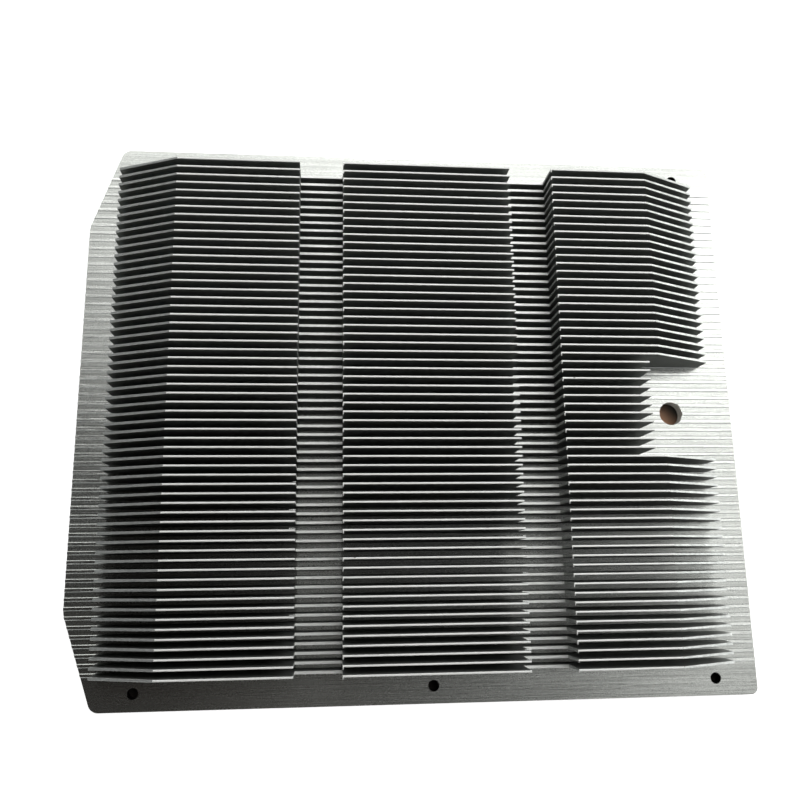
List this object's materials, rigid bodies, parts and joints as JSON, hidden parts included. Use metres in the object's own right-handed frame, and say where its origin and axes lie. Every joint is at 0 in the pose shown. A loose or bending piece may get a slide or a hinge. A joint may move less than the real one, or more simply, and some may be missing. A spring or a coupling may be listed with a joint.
{
  "type": "extruded heat sink",
  "caption": "Rectangular aluminium heat sink: a flat mounting plate under a comb of thin tapered fins with sloped ends, two cross valleys and a notch around a large hole.",
  "frame": {"origin": "middle of the plate's flat underside", "axes": "+X along the fins towards the large hole, +Y across the fins, +Z from the plate towards the fin tips"},
  "size_m": [0.2976, 0.25, 0.0275],
  "materials": {
    "bare_aluminium": "bare extruded and milled aluminium, fine lines along the fins"
  },
  "bodies": {
    "root": {"heat_sink": "bare_aluminium"}
  },
  "joints": []
}
